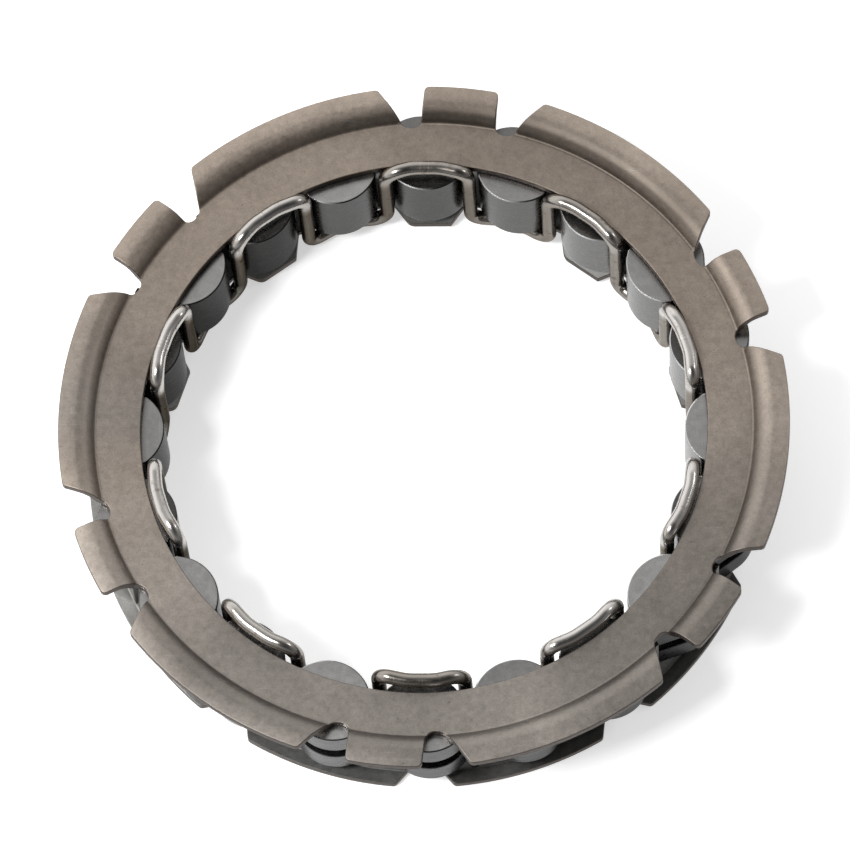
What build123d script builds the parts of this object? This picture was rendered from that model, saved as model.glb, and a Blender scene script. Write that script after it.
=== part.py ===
"""Sprag clutch: twenty sprags held between two pressed plates by a bent wire and a garter spring.

Millimetres. The clutch axis is Z and z = 0 is the middle of the sprags. The upper plate, with
twelve tabs, is on the +Z side. Azimuths are clockwise seen from above, from 0 at +Y, which is
the middle of the first sprag.
"""
import os
from math import atan2, cos, degrees, hypot, pi, radians, sin, sqrt, tan

from build123d import *

os.makedirs("parts", exist_ok=True)

# Races that the clutch runs between.
outer_race_r = 35.71
race_gap = 8.33

# Sprags. Across the profile, x is tangential and y is radial.
sprag_spacing = 9.96  # along the circle of the pivots
sprag_length = 8.4
nose_r = 4.6
nose_reach = 0.28  # how far the free nose reaches inside the inner race
nose_half_width = 3.75
crown_r = 4.5
crown_inset = 0.07  # free crown to the outer race
crown_shift = 0.65  # crown centre off the radial line
toe_x = 4.5
heel_x = 1.75
heel_drop = 1.65  # straight part of the heel flank
heel_lean = 0.05
shoulder_x = 3.9
shoulder_rise = 1.56  # shoulder above the corner of the nose
waist_sag = 0.45
back_sag = 0.12
sprag_corner_r = 0.3
sprag_chamfer = 0.15

# Garter spring and the groove that it lies in.
coil_d = 1.6
coil_to_pillar = 0.35
groove_width = 2.0
groove_floor_gap = 0.8  # lets the sprag rock under the spring

# Plates.
sheet_t = 0.9
axial_gap = 0.2  # sprag end to plate
bore_past_race = 2.12  # bore of the plates to the inner race
joggle_rise = 1.45
joggle_run = 0.9
crease_r = 0.35  # inside radius at the foot of the joggle
crest_r = 1.2  # outside radius at the top of the joggle
tab_corner_r = 0.55

# Upper plate.
upper_fold_inset = 1.46  # fold to the outer race
upper_lip = 2.85  # level part of the tabs
tab_pairs = 6
narrow_tab_az = 5.7
narrow_tab_width = 7.6
notch_floor_width = 1.97
notch_past_fold = 0.65
notch_slant = 42.6  # side of a wide tab off the side of the narrow one
notch_corner_r = 1.1

# Lower plate.
lower_tip_inset = 0.06  # tips of the lower tabs to the outer race
lower_lip = 1.45
lower_run = 1.0
gap_half_width = 3.1  # at the tips of the lower tabs
gap_slant = 41.4  # side of the gap off the radial line
gap_floor_corner_r = 1.1
tongue_reach = 2.1  # tip of a tongue to the bore of the plate
tongue_tip_width = 4.35
tongue_slant = 43.0
tongue_drop = 1.1  # the tip's lower edge under the flat face of the plate
tongue_tip_lean = 0.3
tongue_tip_height = 0.8
tongue_under_run = 0.2  # the bend starts this far inside the bore, underneath
tongue_root_run = 0.4  # the root reaches this far into the ring

# Pillars, which stand on the lower plate and carry the upper one.
pillar_t = 0.9
pillar_past_fold = 0.15
window_lead_gap = 0.45  # window edge to the toe
window_trail_gap = 0.55  # window edge to the heel

# Wire that holds the sprags from inside.
wire_d = 1.5
wire_to_bore = 0.1  # middle of a loop to the bore of the plates
wire_under_rim = 0.05  # top of the upper loops to the face of the tabs
wire_to_sprag_end = 0.55  # top of the lower loops to the sprag ends
leg_inset = 0.35  # legs inside the middles of the loops
loop_flat = 3.0
loop_knee_r = 6.0
tight_bend_r = 1.35
wide_bend_r = 2.0

# How far a cutting shape runs past what it cuts.
margin = 1.0

# Values that follow from the ones above.
sprag_half = sprag_length / 2
plate_z = sprag_half + axial_gap
flat_z = plate_z + sheet_t
lip_z = flat_z + joggle_rise
inner_race_r = outer_race_r - race_gap
nose_apex_r = inner_race_r - nose_reach
pivot_r = nose_apex_r + nose_r
sprag_count = 2 * round(pi * pivot_r / sprag_spacing)
pitch = 360 / sprag_count
bore_r = inner_race_r + bore_past_race
upper_fold_r = outer_race_r - upper_fold_inset
upper_tip_r = upper_fold_r + joggle_run + upper_lip
lower_tip_r = outer_race_r - lower_tip_inset
lower_fold_r = lower_tip_r - lower_lip - lower_run
tongue_tip_r = bore_r - tongue_reach
crown_apex_r = outer_race_r - crown_inset
crown_centre_y = crown_apex_r - crown_r
pillar_inner_r = lower_fold_r + pillar_past_fold
pillar_outer_r = pillar_inner_r + pillar_t
pillar_mid_r = (pillar_inner_r + pillar_outer_r) / 2
coil_centre_r = pillar_inner_r - coil_to_pillar - coil_d / 2
groove_floor_r = coil_centre_r - coil_d / 2 - groove_floor_gap
loop_r = bore_r - wire_to_bore - wire_d / 2
leg_r = loop_r - leg_inset
upper_loop_z = lip_z - wire_under_rim - wire_d / 2
lower_loop_z = -sprag_half - wire_to_sprag_end - wire_d / 2


def on_circle(r, az):
    """Point at radius r and azimuth az, in degrees."""
    return (r * sin(radians(az)), r * cos(radians(az)))


def turned(point, az):
    """A point drawn at azimuth 0, moved round to azimuth az."""
    r = hypot(point[0], point[1])
    return on_circle(r, degrees(atan2(point[0], point[1])) + az)


def bulged(start, end, sag):
    """Middle point of an arc from start to end that bulges by sag to the right of the way."""
    dx = end[0] - start[0]
    dy = end[1] - start[1]
    span = hypot(dx, dy)
    mid_x = (start[0] + end[0]) / 2 + sag * dy / span
    mid_y = (start[1] + end[1]) / 2 - sag * dx / span
    return (mid_x, mid_y)


def joggled(side, fold_r, run, tip_r):
    """Both faces of a sheet that leaves the flat at fold_r, steps away from the sprags and runs level.

    The first face is the one that shows the crease. side is 1 above the sprags and -1 below.
    """
    half_bend = atan2(joggle_rise, run) / 2
    shift = sheet_t * tan(half_bend)
    if side > 0:
        shown_z = (flat_z, lip_z)
        hidden_z = (plate_z, lip_z - sheet_t)
        shown_radii = (crease_r, crest_r)
        hidden_radii = (crease_r + sheet_t, crest_r - sheet_t)
    else:
        shown_z = (-plate_z, sheet_t - lip_z)
        hidden_z = (-flat_z, -lip_z)
        shown_radii = (crease_r + sheet_t, crest_r - sheet_t)
        hidden_radii = (crease_r, crest_r)
    hidden_fold_r = fold_r + side * shift
    shown = [(bore_r, shown_z[0]), (fold_r, shown_z[0]), (fold_r + run, shown_z[1]), (tip_r, shown_z[1])]
    hidden = [
        (bore_r, hidden_z[0]),
        (hidden_fold_r, hidden_z[0]),
        (hidden_fold_r + run, hidden_z[1]),
        (tip_r, hidden_z[1]),
    ]
    return shown, shown_radii, hidden, hidden_radii


def crown_height(x):
    """Height of the crown arc above the clutch axis, at a tangential distance x."""
    return crown_centre_y + sqrt(crown_r**2 - (x + crown_shift) ** 2)


# One sprag, at azimuth 0. Its free shape stands a little higher than the space between the races.
nose_corner_y = pivot_r - sqrt(nose_r**2 - nose_half_width**2)
nose_left = (-nose_half_width, nose_corner_y)
nose_right = (nose_half_width, nose_corner_y)
shoulder = (shoulder_x, nose_corner_y + shoulder_rise)
heel_top = (heel_x, crown_height(heel_x))
heel_low = (heel_x + heel_lean, crown_height(heel_x) - heel_drop)
toe = (-toe_x, crown_height(-toe_x))

with BuildPart() as sprag:
    with BuildSketch(Plane.XY.offset(-sprag_half)) as profile:
        with BuildLine():
            ThreePointArc(nose_left, (0, nose_apex_r), nose_right)
            Line(nose_right, shoulder)
            ThreePointArc(shoulder, bulged(shoulder, heel_low, -waist_sag), heel_low)
            Line(heel_low, heel_top)
            ThreePointArc(heel_top, (-crown_shift, crown_apex_r), toe)
            ThreePointArc(toe, bulged(toe, nose_left, -back_sag), nose_left)
        make_face()
        fillet(profile.vertices(), radius=sprag_corner_r)
    extrude(amount=sprag_length)
    chamfer(sprag.faces().sort_by(Axis.Z)[0].edges(), length=sprag_chamfer)
    chamfer(sprag.faces().sort_by(Axis.Z)[-1].edges(), length=sprag_chamfer)
    with BuildSketch(Plane.XY.offset(-groove_width / 2)):
        Circle(crown_apex_r + margin)
        Circle(groove_floor_r, mode=Mode.SUBTRACT)
    extrude(amount=groove_width, mode=Mode.SUBTRACT)

for number in range(sprag_count):
    placed_sprag = sprag.part.rotate(Axis.Z, -number * pitch)
    placed_sprag.label = f"sprag_{number + 1:02d}"
    export_step(placed_sprag, f"parts/{placed_sprag.label}.step")

# Upper plate: a joggled ring whose rim is notched into six narrow and six wide tabs.
pair_angle = 360 / tab_pairs
narrow_side_x = narrow_tab_width / 2
wide_foot_x = narrow_side_x + notch_floor_width
notch_floor_r = upper_fold_r - notch_past_fold
notch_floor_y = sqrt(notch_floor_r**2 - (narrow_side_x + notch_corner_r) ** 2)
notch_top_y = upper_tip_r + margin
notch_top_x = wide_foot_x + (notch_top_y - notch_floor_y) * tan(radians(notch_slant))
notch_points = [
    (narrow_side_x, notch_top_y),
    (narrow_side_x, notch_floor_y),
    (wide_foot_x, notch_floor_y),
    (notch_top_x, notch_top_y),
]

with BuildPart() as upper_plate:
    shown, shown_radii, hidden, hidden_radii = joggled(1, upper_fold_r, joggle_run, upper_tip_r)
    with BuildSketch(Plane.XZ):
        with BuildLine():
            upper_top = FilletPolyline(shown, radius=shown_radii)
            upper_under = FilletPolyline(hidden, radius=hidden_radii)
            Line(upper_top @ 0, upper_under @ 0)
            Line(upper_top @ 1, upper_under @ 1)
        make_face()
    revolve(axis=Axis.Z)
    with BuildSketch() as upper_outline:
        Circle(upper_tip_r)
        for pair in range(tab_pairs):
            tab_az = narrow_tab_az + pair * pair_angle
            for hand in (-1, 1):
                corners = [turned((hand * x, y), tab_az) for x, y in notch_points]
                with BuildSketch(mode=Mode.SUBTRACT) as notch:
                    with BuildLine():
                        Polyline(*corners, close=True)
                    make_face()
                    floor = notch.vertices().sort_by(lambda v: hypot(v.X, v.Y))[:2]
                    fillet(floor, radius=notch_corner_r)
        tips = upper_outline.vertices().filter_by(lambda v: hypot(v.X, v.Y) > upper_tip_r - 0.01)
        fillet(tips, radius=tab_corner_r)
        Circle(bore_r, mode=Mode.SUBTRACT)
    extrude(amount=lip_z + margin, mode=Mode.INTERSECT)

upper_plate.part.label = "upper_plate"
export_step(upper_plate.part, "parts/upper_plate.step")

# Tongue that is bent down from the bore of the lower plate, drawn at azimuth 0.
tongue_low_z = -flat_z - tongue_drop
tongue_section = [
    (bore_r + tongue_root_run, -plate_z),
    (bore_r, -plate_z),
    (tongue_tip_r + tongue_tip_lean, tongue_low_z + tongue_tip_height),
    (tongue_tip_r, tongue_low_z),
    (bore_r - tongue_under_run, -flat_z),
    (bore_r + tongue_root_run, -flat_z),
]
tongue_root_y = bore_r + tongue_root_run
tongue_root_half = tongue_tip_width / 2 + (tongue_root_y - tongue_tip_r) * tan(radians(tongue_slant))

with BuildPart() as tongue:
    with BuildSketch(Plane.YZ):
        Polygon(*tongue_section, align=None)
    extrude(amount=tongue_root_half, both=True)
    with BuildSketch():
        Polygon(
            (-tongue_root_half, tongue_root_y),
            (-tongue_tip_width / 2, tongue_tip_r),
            (tongue_tip_width / 2, tongue_tip_r),
            (tongue_root_half, tongue_root_y),
            align=None,
        )
    extrude(amount=-lip_z, mode=Mode.INTERSECT)

# Lower plate: a ring with ten tabs outside, ten tongues inside, and the pillars.
gap_tip = (gap_half_width, sqrt(lower_tip_r**2 - gap_half_width**2))
gap_slope = tan(radians(gap_slant))
gap_foot_y = gap_tip[1] - gap_half_width / gap_slope
gap_top_y = lower_tip_r + margin
gap_top_half = (gap_top_y - gap_foot_y) * gap_slope
window_from = degrees(atan2(-toe_x - window_lead_gap, pillar_mid_r))
window_to = degrees(atan2(heel_x + window_trail_gap, pillar_mid_r))

with BuildPart() as lower_plate:
    shown, shown_radii, hidden, hidden_radii = joggled(-1, lower_fold_r, lower_run, lower_tip_r)
    with BuildSketch(Plane.XZ):
        with BuildLine():
            lower_top = FilletPolyline(shown, radius=shown_radii)
            lower_under = FilletPolyline(hidden, radius=hidden_radii)
            Line(lower_top @ 0, lower_under @ 0)
            Line(lower_top @ 1, lower_under @ 1)
        make_face()
    revolve(axis=Axis.Z)
    with BuildSketch() as lower_outline:
        Circle(lower_tip_r)
        for number in range(0, sprag_count, 2):
            gap_points = [(0, gap_foot_y), (-gap_top_half, gap_top_y), (gap_top_half, gap_top_y)]
            corners = [turned(point, number * pitch) for point in gap_points]
            with BuildSketch(mode=Mode.SUBTRACT) as gap:
                with BuildLine():
                    Polyline(*corners, close=True)
                make_face()
                fillet(gap.vertices().sort_by(lambda v: hypot(v.X, v.Y))[0], radius=gap_floor_corner_r)
        tips = lower_outline.vertices().filter_by(lambda v: hypot(v.X, v.Y) > lower_tip_r - 0.01)
        fillet(tips, radius=tab_corner_r)
        Circle(bore_r, mode=Mode.SUBTRACT)
    extrude(amount=-lip_z - margin, mode=Mode.INTERSECT)
    with BuildSketch(Plane.XY.offset(sheet_t - lip_z)):
        Circle(pillar_outer_r)
        Circle(pillar_inner_r, mode=Mode.SUBTRACT)
        for number in range(sprag_count):
            reach = pillar_outer_r * 2
            window = [
                (0, 0),
                on_circle(reach, number * pitch + window_from),
                on_circle(reach, number * pitch + window_to),
            ]
            Polygon(*window, align=None, mode=Mode.SUBTRACT)
    extrude(amount=lip_z - sheet_t + plate_z)
    for number in range(0, sprag_count, 2):
        add(tongue.part.rotate(Axis.Z, -number * pitch))

lower_plate.part.label = "lower_plate"
export_step(lower_plate.part, "parts/lower_plate.step")

# Wire: one closed bend that passes over one sprag and under the next.
wire_points = []
wire_radii = []
for number in range(sprag_count):
    az = number * pitch
    level = upper_loop_z if number % 2 == 0 else lower_loop_z
    bends = [wide_bend_r, loop_knee_r, loop_knee_r, tight_bend_r]
    plan = [
        on_circle(leg_r, az - pitch / 2),
        turned((-loop_flat / 2, loop_r), az),
        turned((loop_flat / 2, loop_r), az),
        on_circle(leg_r, az + pitch / 2),
    ]
    wire_points += [(x, y, level) for x, y in plan]
    wire_radii += bends if number % 2 == 0 else bends[::-1]

with BuildPart() as wire_retainer:
    with BuildLine() as wire_path:
        FilletPolyline(*wire_points, radius=wire_radii, close=True)
    with BuildSketch(Plane(origin=wire_path.line @ 0, z_dir=wire_path.line % 0)):
        Circle(wire_d / 2)
    sweep(path=wire_path.line)

wire_retainer.part.label = "wire_retainer"
export_step(wire_retainer.part, "parts/wire_retainer.step")

# Garter spring: the ring that its coils fill.
with BuildPart() as garter_spring:
    Torus(coil_centre_r, coil_d / 2)

garter_spring.part.label = "garter_spring"
export_step(garter_spring.part, "parts/garter_spring.step")
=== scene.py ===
"""Sprag clutch, dressed for the render.

The mesh code works in millimetres and the scene in metres. Azimuths are clockwise seen from above,
from 0 at +Y, which is the middle of the first sprag.
"""

from math import acos, atan2, ceil, cos, degrees, hypot, pi, radians, sin, sqrt, tan

import bmesh
import bpy
import numpy as np
from mathutils import Matrix, Vector, geometry


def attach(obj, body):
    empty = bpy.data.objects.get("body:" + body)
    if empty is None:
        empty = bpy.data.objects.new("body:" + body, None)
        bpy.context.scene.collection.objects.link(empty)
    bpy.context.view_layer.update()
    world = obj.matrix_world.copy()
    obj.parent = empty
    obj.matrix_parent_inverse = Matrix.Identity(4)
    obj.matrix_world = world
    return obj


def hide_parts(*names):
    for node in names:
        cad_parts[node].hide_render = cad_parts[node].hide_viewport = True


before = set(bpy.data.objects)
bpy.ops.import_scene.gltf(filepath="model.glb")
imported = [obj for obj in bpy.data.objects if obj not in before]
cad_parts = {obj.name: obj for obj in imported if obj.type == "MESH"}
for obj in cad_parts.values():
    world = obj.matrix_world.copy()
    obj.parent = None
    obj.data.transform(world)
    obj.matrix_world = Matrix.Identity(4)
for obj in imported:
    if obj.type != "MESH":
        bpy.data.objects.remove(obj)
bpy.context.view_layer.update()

MM = 0.001

# Sizes in millimetres, and angles in degrees. This group follows the solids.
outer_race_r = 35.71
inner_race_r = outer_race_r - 8.33
sprag_count = 20
pitch = 360 / sprag_count
sprag_half = 4.2
nose_r = 4.6
nose_apex_r = inner_race_r - 0.28
pivot_r = nose_apex_r + nose_r
nose_half_width = 3.75
crown_r = 4.5
crown_shift = 0.65
crown_apex_r = outer_race_r - 0.07
crown_centre_y = crown_apex_r - crown_r
toe_x = 4.5
heel_x = 1.75
groove_half = 1.0
groove_floor_r = 30.6
sheet_t = 0.9
plate_z = sprag_half + 0.2
flat_z = plate_z + sheet_t
joggle_rise = 1.45
lip_z = flat_z + joggle_rise
bore_r = 29.5
upper_fold_r = 34.25
upper_run = 0.9
upper_tip_r = 38.0
lower_fold_r = 33.2
lower_run = 1.0
pillar_inner_r = 33.35
pillar_outer_r = 34.25
coil_centre_r = 32.2
coil_r = 0.8
wire_r = 0.75
loop_r = bore_r - 0.1 - wire_r
leg_r = loop_r - 0.35
upper_loop_z = lip_z - 0.05 - wire_r
lower_loop_z = -sprag_half - 0.55 - wire_r
loop_flat = 3.0
loop_knee_r = 6.0
tight_bend_r = 1.35
wide_bend_r = 2.0
tongue_tip_r = 27.4
tongue_low_z = -flat_z - 1.1
crease_r = 0.35
lower_crest_r = 1.2

# Sizes that the solids don't have, or that were fitted more closely after them.
lower_tip_r = 35.8
upper_crest_r = 2.3
lip_crown_r = 36.0
lip_droop = 0.14
heel_fall = 34
heel_flank = 3.6
wire_shift = 0.18

# How far the sheared edges of a plate are softened, at its top and at its bottom.
upper_edges = (0.12, 0.08)
lower_edges = (0.08, 0.16)

# Notches between the tabs of the upper plate.
narrow_tab_half = 3.93
first_narrow_tab = 5.7
notch_floor_width = 1.78
notch_floor_inset = 0.45
notch_corner_r = 1.0
notch_slant = 42.6
tab_corner_r = 0.55

# Notches between the tabs of the lower plate.
lower_notch_half = 3.1
lower_notch_slant = 41.4
lower_notch_corner_r = 1.1

# Tongues of the lower plate. One side lies a little further out than the other.
tongue_half = 2.175
tongue_skew = 0.1
tongue_slant = 43
tongue_corners = (1.2, 0.2)
tongue_bend_y = 29.2
tongue_bend = 0.55
tongue_fall = -flat_z - tongue_low_z
tongue_reach_x = 4.6
tongue_fade = 0.4

# Pillars.
pillar_mid_r = 33.8
pillar_soft = 0.12
pillar_low_z = -5.95
pillar_sink = 0.02
toe_room = 0.3
heel_room = 0.45

# Corners of a sprag, steps of its end chamfer as depth and inset, and the soft lip of its groove.
shoulder_x = 3.9
shoulder_rise = 1.56
waist_sag = 0.12
corner_cuts = (0.3, 0.35, 0.3, 0.45, 0.5, 0.3)
end_steps = ((0.15, 0), (0.12, 0), (0.03, 0.07), (0, 0.16))
groove_lip = 0.07

# Garter spring.
spring_turns = 440
spring_wire_r = 0.2

# Steps between mesh points: along outlines and arcs, round a ring in degrees, and along the wire. A band
# of rings has a first radius, a last radius and a step.
outline_step = 0.3
arc_step = 1.0
bore_step = 0.6
grid_step = 0.75
wire_step = 0.8
upper_bands = ((30.1, 33.7, 0.7), (33.9, 36.4, 0.09), (36.6, 38, 0.25))
lower_bands = ((27.6, 32.2, 0.3), (32.3, 34.7, 0.09), (34.9, 35.6, 0.3))
border_gap = 0.16

# Painted light and shade across the plates, in the tone of the finish: radii, and the value at each.
# The upper plate is painted darker on its crease and slope and lighter on its lips.
upper_across = ((upper_fold_r - 0.15, upper_fold_r + 0.1, upper_fold_r + upper_run, 36.2, 37.3),
                (1.0, 0.85, 1.05, 1.0, 1.12))
on_slope = ((upper_fold_r - 0.1, upper_fold_r + 0.15, upper_fold_r + upper_run, 36.0), (0, 1, 0.8, 0))
on_lip = ((upper_fold_r + upper_run, 36.4), (0, 1))
on_crease = ((33.95, 34.1, 34.3, 34.45), (0, 1, 1, 0))
on_crest = ((34.55, 35.0, 35.6, 36.4), (0, 1, 1, 0))
# The lower plate is painted darker at the roots of its tabs, and the pillars dark, as shade.
lower_across = ((28.6, 30.0, 32.6, 33.6, 35.0), (0.75, 0.8, 0.6, 0.45, 0.72))
pillar_shade = 0.42

# Painted light and shade round the ring, partly the finish's own change: azimuths, and the factor at each.
finish_az = (0, 20, 35, 60, 90, 110, 130, 145, 160, 180,
             200, 220, 235, 255, 272, 290, 310, 340, 352, 360)
upper_round = (finish_az, (1.02, 0.90, 0.97, 1.16, 1.1, 0.88, 0.78, 0.85, 1.12, 0.88,
                           1.05, 0.88, 1.35, 1.18, 0.9, 1.0, 1.15, 1.17, 1.07, 1.02))
slope_round = (finish_az, (0.55, 0.55, 0.55, 0.85, 0.95, 0.95, 0.95, 0.9, 0.85, 0.85,
                           0.8, 0.75, 0.8, 1.0, 1.1, 1.05, 0.9, 0.75, 0.6, 0.55))
lip_round = (finish_az, (1.2, 1.3, 1.4, 0.97, 1.25, 1.1, 1.05, 1.0, 0.95, 0.92,
                         0.85, 0.8, 1.0, 1.15, 1.08, 1.1, 1.12, 1.1, 1.2, 1.2))
# Painted shade on the crease and the crest, taken off where light catches them.
crease_dark = ((4, 20, 60, 75, 100, 125, 140), (0, 0.5, 0.5, 0.2, 0.2, 0.4, 0))
crest_dark = ((0, 14, 24, 50, 60, 75, 340, 352, 360), (0.42, 0.45, 0.5, 0.5, 0.25, 0, 0, 0.4, 0.42))
upper_warmth = ((0, 70, 115, 150, 215, 240, 262, 272, 285, 300, 360),
                (1, 1, 0.2, 0, 0, 0.3, 0.8, 0.2, 0.7, 1, 1))
# Painted light on the lower plate, on the side the key light comes from.
lower_round = ((215, 228, 262, 275), (1, 2.1, 2.1, 1))

# The same painted light and shade for the sprags: the outer part of the end faces, the whole end faces,
# the flanks, the crowns, and how bright the reflections of the flanks are at a low angle.
face_outside = ((0, 36, 60, 90, 140, 220, 270, 320, 360),
                (0.6, 0.6, 0.8, 0.9, 1.3, 1.3, 0.9, 0.7, 0.6))
face_round = ((0, 18, 54, 90, 126, 162, 198, 234, 270, 306, 342, 360),
              (0.9, 0.85, 0.93, 1.02, 1.08, 0.78, 1.02, 1.0, 0.82, 0.97, 1.05, 0.9))
flank_round = ((0, 18, 36, 54, 90, 180, 250, 288, 324, 342, 360),
               (0.5, 0.68, 0.88, 0.95, 1.0, 0.9, 0.6, 0.38, 0.3, 0.52, 0.5))
crown_round = ((0, 60, 90, 110, 140, 160, 200, 215, 225, 260, 270, 360),
               (0.6, 0.55, 0.5, 0.5, 0.6, 0.6, 0.75, 1.2, 2.2, 2.2, 1.2, 0.6))
graze_round = ((0, 18, 36, 54, 72, 200, 250, 288, 306, 324, 342, 360),
               (0.76, 0.84, 0.91, 0.9, 0.92, 0.9, 0.7, 0.54, 0.54, 0.54, 0.77, 0.76))

# The same painted light and shade for the legs and the upper loops of the wire.
leg_round = ((0, 27, 63, 100, 180, 260, 300, 333, 360),
             (0.37, 0.53, 0.60, 0.48, 0.36, 0.33, 0.29, 0.33, 0.37))
loop_round = ((0, 18, 36, 54, 72, 90, 108, 126, 144, 162, 180, 198, 216, 252, 288, 324, 342, 360),
              (0.55, 0.6, 0.55, 0.9, 1.25, 1.1, 1.0, 1.1, 1.3, 0.8, 0.45, 0.6, 0.8, 1.1, 1.0, 0.9, 0.7, 0.55))

# The camera stands where it stood for the photograph, from a fit of the outline.
camera_distance = 686.0
camera_azimuth = 173.985
camera_tilt = 21.83
image_turn = -0.5
aim_right = 0.1395
aim_down = 0.0849
pixels_per_mm = 9.6224
image_width = 850
sensor_width = 36

# Lights. The tent is darker behind the camera and brightest at the back; its stops go by the angle from
# the camera's side and from the back, as a cosine brought to 0 to 1.
floor_half = 3
floor_gap = 0.05
tent_stops = ((0.0, 0.9), (0.5, 1.15), (0.72, 1.25), (0.80, 0.95), (0.862, 0.62), (0.93, 0.28), (1.0, 0.06))
back_stops = ((0.05, 0.25), (0.4, 0.6), (0.62, 1.0), (0.9, 1.5))
back_azimuth = 312
back_rise = 0.15
softbox_distance = 0.6


def on_circle(r, az):
    return np.array([r * sin(radians(az)), r * cos(radians(az))])


def turned(points, az):
    """Plan points drawn at azimuth 0, moved round to azimuth az."""
    p = np.atleast_2d(np.array(points, float))
    c, s = cos(radians(az)), sin(radians(az))
    out = p.copy()
    out[:, 0] = p[:, 0] * c + p[:, 1] * s
    out[:, 1] = -p[:, 0] * s + p[:, 1] * c
    return out


def polar(points):
    """Radii of plan points, and their azimuths in degrees from -180 to 180."""
    return np.hypot(points[:, 0], points[:, 1]), np.degrees(np.arctan2(points[:, 0], points[:, 1]))


def rounded(points, radii, closed, step=6.0):
    """The polyline with its corners rounded, as dense points. It works in the plane and in space."""
    pts = np.array(points, float)
    n = len(pts)
    out = []
    for i in range(n):
        radius = radii[i]
        if (not closed and i in (0, n - 1)) or radius <= 0:
            out.append(pts[i])
            continue
        a, b, c = pts[i - 1], pts[i], pts[(i + 1) % n]
        u = (a - b) / np.linalg.norm(a - b)
        v = (c - b) / np.linalg.norm(c - b)
        inside = acos(max(-1.0, min(1.0, float(u @ v))))
        turn = pi - inside
        if turn < 1e-3:
            out.append(b)
            continue
        centre = b + (u + v) / np.linalg.norm(u + v) * radius / sin(inside / 2)
        first = b + u * radius / tan(inside / 2) - centre
        last = b + v * radius / tan(inside / 2) - centre
        count = max(2, ceil(degrees(turn) / step))
        for k in range(count + 1):
            w = k / count
            out.append(centre + (sin((1 - w) * turn) * first + sin(w * turn) * last) / sin(turn))
    return np.array(out)


def sweep_between(a, b):
    """Azimuth of a and the way round from a to b, in radians."""
    start = atan2(a[0], a[1])
    return start, (atan2(b[0], b[1]) - start + pi) % (2 * pi) - pi


def divided(loop, arc_r):
    """A closed plan loop with no step above outline_step. Steps between points at arc_r follow its arc."""
    on_arc = 0.03
    out = []
    for a, b in zip(loop, np.roll(loop, -1, axis=0)):
        out.append(a)
        count = int(ceil(np.linalg.norm(b - a) / outline_step))
        bent = abs(np.linalg.norm(a) - arc_r) < on_arc and abs(np.linalg.norm(b) - arc_r) < on_arc
        start, sweep = sweep_between(a, b)
        for k in range(1, count):
            w = k / count
            if bent:
                angle = start + sweep * w
                out.append(arc_r * np.array([sin(angle), cos(angle)]))
            else:
                out.append(a + (b - a) * w)
    return np.array(out)


def side_normals(loop, right):
    """Unit normals of a closed plan loop, on its right hand if right, with the mitre length in them."""
    ahead = np.roll(loop, -1, axis=0) - loop
    ahead /= np.linalg.norm(ahead, axis=1)[:, None]
    behind = np.roll(ahead, 1, axis=0)
    side = 1 if right else -1
    na = np.stack([ahead[:, 1], -ahead[:, 0]], 1) * side
    nb = np.stack([behind[:, 1], -behind[:, 0]], 1) * side
    mid = na + nb
    mid /= np.linalg.norm(mid, axis=1)[:, None]
    stretch = np.clip(1 / np.maximum((mid * na).sum(1), 0.3), 1, 2)
    return mid, mid * stretch[:, None]


def inside_loop(p, loop):
    """Which plan points are inside a closed loop."""
    x, y = p[:, 0], p[:, 1]
    hit = np.zeros(len(p), bool)
    for (x0, y0), (x1, y1) in zip(loop, np.roll(loop, -1, axis=0)):
        if y0 == y1:
            continue
        cross = (y0 > y) != (y1 > y)
        hit ^= cross & (x < (x1 - x0) * (y - y0) / (y1 - y0) + x0)
    return hit


def make_object(name, verts, faces, material, body, nodes, normals, attributes):
    """A mesh object in the shared frame, riding on a body and standing for CAD nodes."""
    mesh = bpy.data.meshes.new(name)
    mesh.from_pydata((np.asarray(verts, float) * MM).tolist(), [], [list(map(int, f)) for f in faces])
    mesh.update()
    mesh.polygons.foreach_set("use_smooth", [True] * len(mesh.polygons))
    for key, values in attributes.items():
        values = np.asarray(values, float)
        kind = "FLOAT" if values.ndim == 1 else "FLOAT_VECTOR"
        layer = mesh.attributes.new(key, kind, "POINT")
        layer.data.foreach_set("value" if values.ndim == 1 else "vector", values.ravel())
    if normals is not None:
        mesh.normals_split_custom_set_from_vertices(np.asarray(normals, float).tolist())
    obj = bpy.data.objects.new(name, mesh)
    bpy.context.scene.collection.objects.link(obj)
    mesh.materials.append(material)
    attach(obj, body)
    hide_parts(*nodes)
    return obj


def surface_normals(height, xy, side):
    """Normals of the surface z = height(xy), up if side is 1 and down if it is -1."""
    h = 0.01  # half the width of the difference
    gx = (height(xy + [h, 0]) - height(xy - [h, 0])) / (2 * h)
    gy = (height(xy + [0, h]) - height(xy - [0, h])) / (2 * h)
    n = np.stack([-gx, -gy, np.ones(len(xy))], 1) * side
    return n / np.linalg.norm(n, axis=1)[:, None]


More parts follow.
